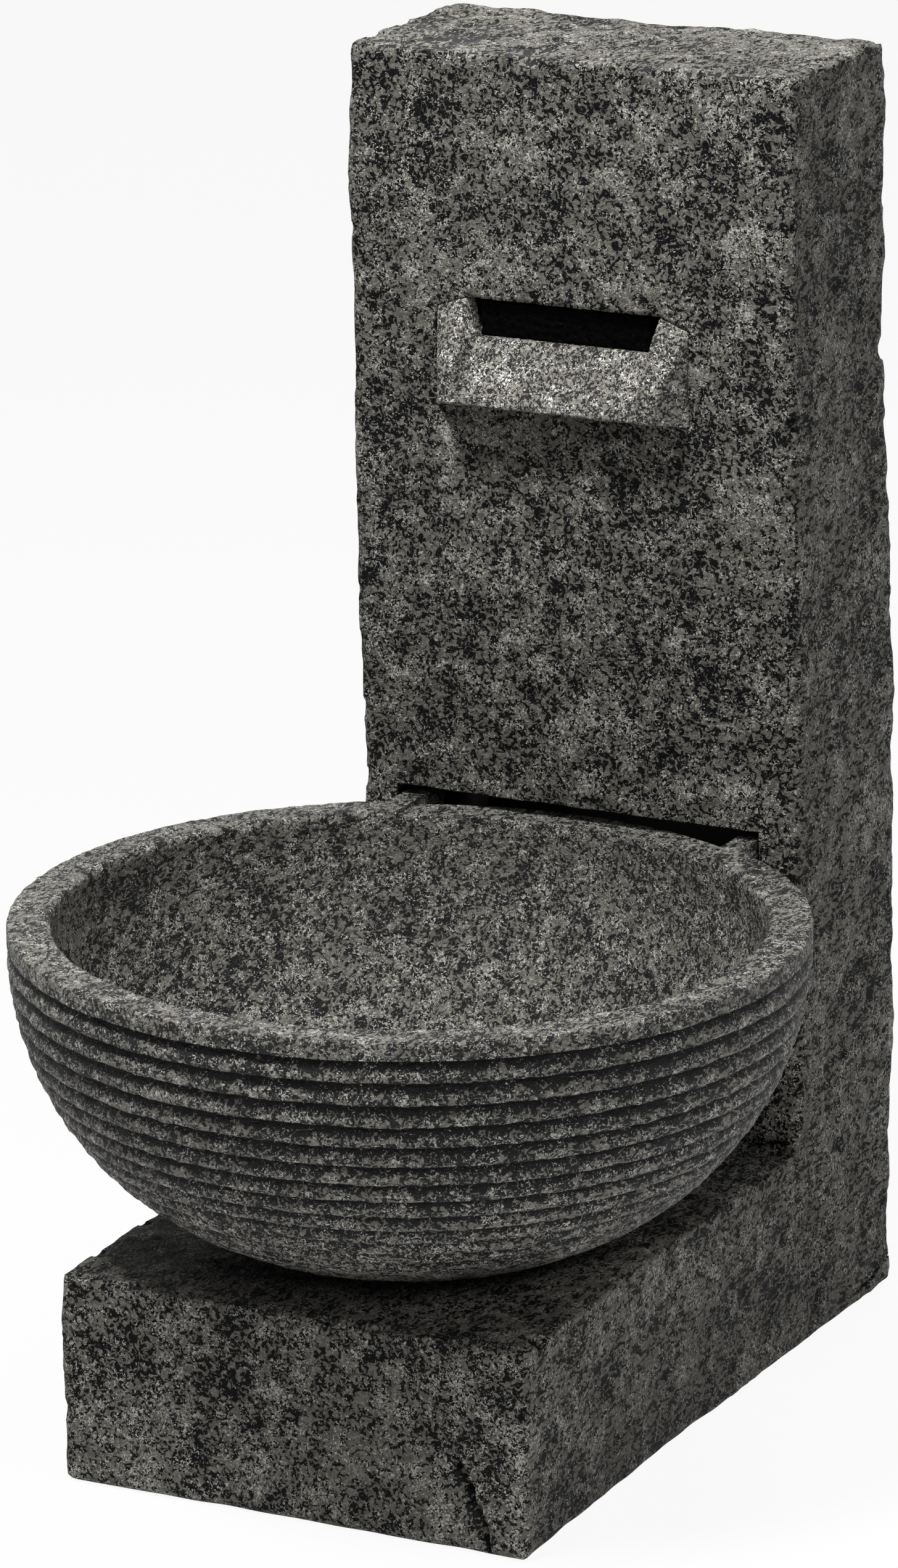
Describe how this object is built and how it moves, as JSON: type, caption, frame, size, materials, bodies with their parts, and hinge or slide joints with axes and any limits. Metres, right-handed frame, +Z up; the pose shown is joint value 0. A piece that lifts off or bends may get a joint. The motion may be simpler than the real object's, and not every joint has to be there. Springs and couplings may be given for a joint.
{
  "type": "garden wall fountain",
  "caption": "Cast granite-look garden fountain: rough pillar on a plinth, a chute high in the pillar, a round lapped bowl in front, and a pump in a hidden tub.",
  "frame": {"origin": "on the ground, under the middle of the whole object", "axes": "+Z up, the bowl and the chute face -Y, +X to the right seen from the front"},
  "size_m": [0.476, 0.603, 0.8],
  "materials": {
    "cast_stone": "rough cast granite look",
    "black_rubber": "matt moulded",
    "black_plastic": "fine moulded grain",
    "black_foam": "open cell foam",
    "grey_plastic": "fine moulded grain",
    "stainless_steel": "bright",
    "brass": "turned",
    "grey_hose": "extruded",
    "pump_plastic": "semi gloss moulded",
    "dark_plastic": "moulded",
    "core_steel": "stamped laminations",
    "copper_winding": "lacquered wire",
    "ceramic_shaft": "polished",
    "ferrite_magnet": "ground"
  },
  "bodies": {
    "pillar": {"stone_body": "cast_stone", "spout": "cast_stone", "weir_seal": "black_rubber", "weir_box": "black_plastic", "weir_foam": "black_foam", "weir_screws": "stainless_steel", "weir_inserts": "brass", "riser_hose": "grey_hose", "hose_clamp_lower": "stainless_steel", "hose_clamp_upper": "stainless_steel", "reservoir_tub": "black_plastic", "tub_screws": "stainless_steel", "tub_inserts": "brass", "panel_inserts": "brass", "cable_grommet": "black_rubber", "pump_housing": "pump_plastic", "housing_back": "pump_plastic", "stator_core": "core_steel", "stator_coil": "copper_winding", "cable_gland": "black_rubber", "pump_volute": "pump_plastic", "volute_screws": "stainless_steel", "pump_o_ring": "black_rubber", "outlet_adapter": "pump_plastic", "pump_shaft": "ceramic_shaft", "front_bush": "dark_plastic", "rear_bush": "dark_plastic", "suction_cups": "black_rubber"},
    "bowl_body": {"bowl": "cast_stone", "bowl_pads": "black_rubber"},
    "rotor": {"impeller": "dark_plastic", "rotor_magnet": "ferrite_magnet"},
    "pump_cover": {"intake_cover": "pump_plastic"},
    "regulator": {"flow_regulator": "dark_plastic"},
    "back_door": {"rear_panel": "grey_plastic", "panel_seal": "black_rubber", "panel_screws": "stainless_steel"}
  },
  "joints": [
    {"name": "bowl_slide", "type": "slide", "parent": "pillar", "child": "bowl_body", "axis": [0, -1, 0], "range_m": [0, 0.06]},
    {"name": "impeller_spin", "type": "hinge", "parent": "pillar", "child": "rotor", "pos_m": [-0.08, 0.241, 0.037], "axis": [0, 1, 0], "continuous": true},
    {"name": "intake_cover_slide", "type": "slide", "parent": "pillar", "child": "pump_cover", "axis": [0, -1, 0], "range_m": [0, 0.018]},
    {"name": "flow_regulator_slide", "type": "slide", "parent": "pump_cover", "child": "regulator", "axis": [1, 0, 0], "range_m": [0, 0.006]},
    {"name": "rear_panel_slide", "type": "slide", "parent": "pillar", "child": "back_door", "axis": [0, 1, 0], "range_m": [0, 0.04]}
  ]
}
